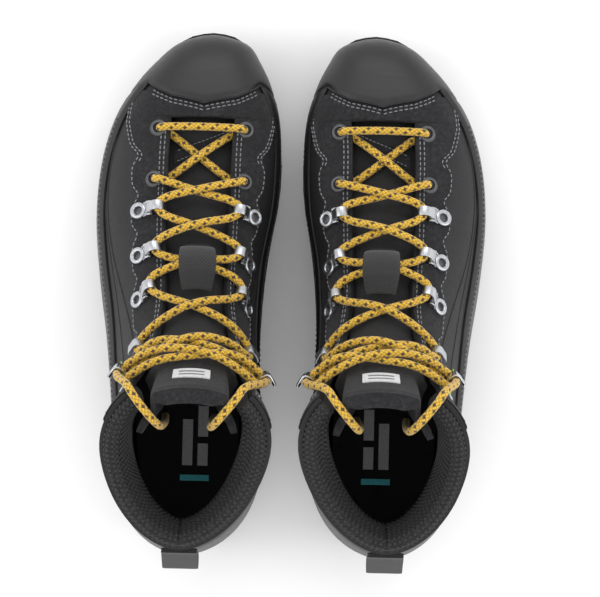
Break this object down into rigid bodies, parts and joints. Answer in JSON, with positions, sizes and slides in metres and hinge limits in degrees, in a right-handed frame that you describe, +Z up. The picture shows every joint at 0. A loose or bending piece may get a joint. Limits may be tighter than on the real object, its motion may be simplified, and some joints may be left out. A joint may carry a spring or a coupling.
{
  "type": "mountaineering boots",
  "caption": "Pair of laced ankle-height mountaineering boots with a rubber rand, hinged metal lace guides, open hooks, padded collar and lugged sole.",
  "frame": {"origin": "middle of the pair's box, on the floor under the soles", "axes": "+Y from the heels to the toes, +X from the left boot to the right boot as worn, +Z up"},
  "size_m": [0.231, 0.3076, 0.1812],
  "materials": {
    "sole_rubber": "matte black moulded rubber",
    "midsole_foam": "matte dark grey moulded foam rubber",
    "board": "matte pressed fibre board",
    "footbed": "black fabric-topped foam",
    "suede": "charcoal suede with light grey stitching",
    "rand_rubber": "semi-gloss black rubber",
    "collar_mesh": "black padded mesh with raised dots",
    "tongue_fabric": "black woven fabric",
    "webbing": "black ribbed webbing",
    "lace": "golden yellow braid with black flecks",
    "aglet": "dark plastic tip",
    "steel": "satin silver metal"
  },
  "bodies": {
    "boots": {"right_outsole": "sole_rubber", "right_midsole": "midsole_foam", "right_insole_board": "board", "right_upper": "suede", "right_rand": "rand_rubber", "right_heel_counter": "rand_rubber", "right_collar": "collar_mesh", "right_tongue": "tongue_fabric", "right_lace_keeper": "webbing", "right_lace": "lace", "right_outer_aglet": "aglet", "right_inner_aglet": "aglet", "right_outer_guide_1_base": "steel", "right_outer_guide_2_base": "steel", "right_outer_guide_3_base": "steel", "right_outer_hook_1": "steel", "right_outer_hook_2": "steel", "right_inner_guide_1_base": "steel", "right_inner_guide_2_base": "steel", "right_inner_guide_3_base": "steel", "right_inner_hook_1": "steel", "right_inner_hook_2": "steel", "left_outsole": "sole_rubber", "left_midsole": "midsole_foam", "left_insole_board": "board", "left_upper": "suede", "left_rand": "rand_rubber", "left_heel_counter": "rand_rubber", "left_collar": "collar_mesh", "left_tongue": "tongue_fabric", "left_lace_keeper": "webbing", "left_lace": "lace", "left_outer_aglet": "aglet", "left_inner_aglet": "aglet", "left_outer_guide_1_base": "steel", "left_outer_guide_2_base": "steel", "left_outer_guide_3_base": "steel", "left_outer_hook_1": "steel", "left_outer_hook_2": "steel", "left_inner_guide_1_base": "steel", "left_inner_guide_2_base": "steel", "left_inner_guide_3_base": "steel", "left_inner_hook_1": "steel", "left_inner_hook_2": "steel"},
    "right_outer_guide_1_loop_body": {"right_outer_guide_1_loop": "steel"},
    "right_outer_guide_2_loop_body": {"right_outer_guide_2_loop": "steel"},
    "right_outer_guide_3_loop_body": {"right_outer_guide_3_loop": "steel"},
    "right_inner_guide_1_loop_body": {"right_inner_guide_1_loop": "steel"},
    "right_inner_guide_2_loop_body": {"right_inner_guide_2_loop": "steel"},
    "right_inner_guide_3_loop_body": {"right_inner_guide_3_loop": "steel"},
    "right_pull_tab_body": {"right_pull_tab": "webbing"},
    "right_footbed_body": {"right_footbed": "footbed"},
    "left_outer_guide_1_loop_body": {"left_outer_guide_1_loop": "steel"},
    "left_outer_guide_2_loop_body": {"left_outer_guide_2_loop": "steel"},
    "left_outer_guide_3_loop_body": {"left_outer_guide_3_loop": "steel"},
    "left_inner_guide_1_loop_body": {"left_inner_guide_1_loop": "steel"},
    "left_inner_guide_2_loop_body": {"left_inner_guide_2_loop": "steel"},
    "left_inner_guide_3_loop_body": {"left_inner_guide_3_loop": "steel"},
    "left_pull_tab_body": {"left_pull_tab": "webbing"},
    "left_footbed_body": {"left_footbed": "footbed"}
  },
  "joints": [
    {"name": "right_outer_guide_1_hinge", "type": "hinge", "parent": "boots", "child": "right_outer_guide_1_loop_body", "pos_m": [0.08039, 0.048, 0.088], "axis": [-0.0392, -0.9564, 0.2893], "range_deg": [-3, 3]},
    {"name": "right_outer_guide_2_hinge", "type": "hinge", "parent": "boots", "child": "right_outer_guide_2_loop_body", "pos_m": [0.08065, 0.02348, 0.09454], "axis": [-0.1588, -0.9259, 0.3427], "range_deg": [-3, 3]},
    {"name": "right_outer_guide_3_hinge", "type": "hinge", "parent": "boots", "child": "right_outer_guide_3_loop_body", "pos_m": [0.08141, 0.0001, 0.10063], "axis": [-0.2445, -0.825, 0.5096], "range_deg": [-3, 3]},
    {"name": "right_inner_guide_1_hinge", "type": "hinge", "parent": "boots", "child": "right_inner_guide_1_loop_body", "pos_m": [0.02574, 0.04636, 0.08464], "axis": [-0.1183, 0.9631, -0.2416], "range_deg": [-3, 3]},
    {"name": "right_inner_guide_2_hinge", "type": "hinge", "parent": "boots", "child": "right_inner_guide_2_loop_body", "pos_m": [0.02624, 0.02061, 0.08995], "axis": [-0.1714, 0.8752, -0.4524], "range_deg": [-3, 3]},
    {"name": "right_inner_guide_3_hinge", "type": "hinge", "parent": "boots", "child": "right_inner_guide_3_loop_body", "pos_m": [0.02531, -0.00305, 0.09681], "axis": [-0.1463, 0.7472, -0.6483], "range_deg": [-3, 3]},
    {"name": "right_pull_tab_hinge", "type": "hinge", "parent": "boots", "child": "right_pull_tab_body", "pos_m": [0.05681, -0.14211, 0.13701], "axis": [-1, 0, 0], "range_deg": [-5, 70], "stiffness_Nm_per_rad": 0.004},
    {"name": "right_footbed_lift", "type": "hinge", "parent": "boots", "child": "right_footbed_body", "pos_m": [0.06102, 0.14263, 0.033], "axis": [-1, 0, 0], "range_deg": [0, 3]},
    {"name": "left_outer_guide_1_hinge", "type": "hinge", "parent": "boots", "child": "left_outer_guide_1_loop_body", "pos_m": [-0.08039, 0.048, 0.088], "axis": [0.0392, -0.9564, 0.2893], "range_deg": [-3, 3]},
    {"name": "left_outer_guide_2_hinge", "type": "hinge", "parent": "boots", "child": "left_outer_guide_2_loop_body", "pos_m": [-0.08065, 0.02348, 0.09454], "axis": [0.1588, -0.9259, 0.3427], "range_deg": [-3, 3]},
    {"name": "left_outer_guide_3_hinge", "type": "hinge", "parent": "boots", "child": "left_outer_guide_3_loop_body", "pos_m": [-0.08141, 0.0001, 0.10063], "axis": [0.2445, -0.825, 0.5096], "range_deg": [-3, 3]},
    {"name": "left_inner_guide_1_hinge", "type": "hinge", "parent": "boots", "child": "left_inner_guide_1_loop_body", "pos_m": [-0.02574, 0.04636, 0.08464], "axis": [0.1183, 0.9631, -0.2416], "range_deg": [-3, 3]},
    {"name": "left_inner_guide_2_hinge", "type": "hinge", "parent": "boots", "child": "left_inner_guide_2_loop_body", "pos_m": [-0.02624, 0.02061, 0.08995], "axis": [0.1714, 0.8752, -0.4524], "range_deg": [-3, 3]},
    {"name": "left_inner_guide_3_hinge", "type": "hinge", "parent": "boots", "child": "left_inner_guide_3_loop_body", "pos_m": [-0.02531, -0.00305, 0.09681], "axis": [0.1463, 0.7472, -0.6483], "range_deg": [-3, 3]},
    {"name": "left_pull_tab_hinge", "type": "hinge", "parent": "boots", "child": "left_pull_tab_body", "pos_m": [-0.05681, -0.14211, 0.13701], "axis": [-1, 0, 0], "range_deg": [-5, 70], "stiffness_Nm_per_rad": 0.004},
    {"name": "left_footbed_lift", "type": "hinge", "parent": "boots", "child": "left_footbed_body", "pos_m": [-0.06102, 0.14263, 0.033], "axis": [-1, 0, 0], "range_deg": [0, 3]}
  ]
}
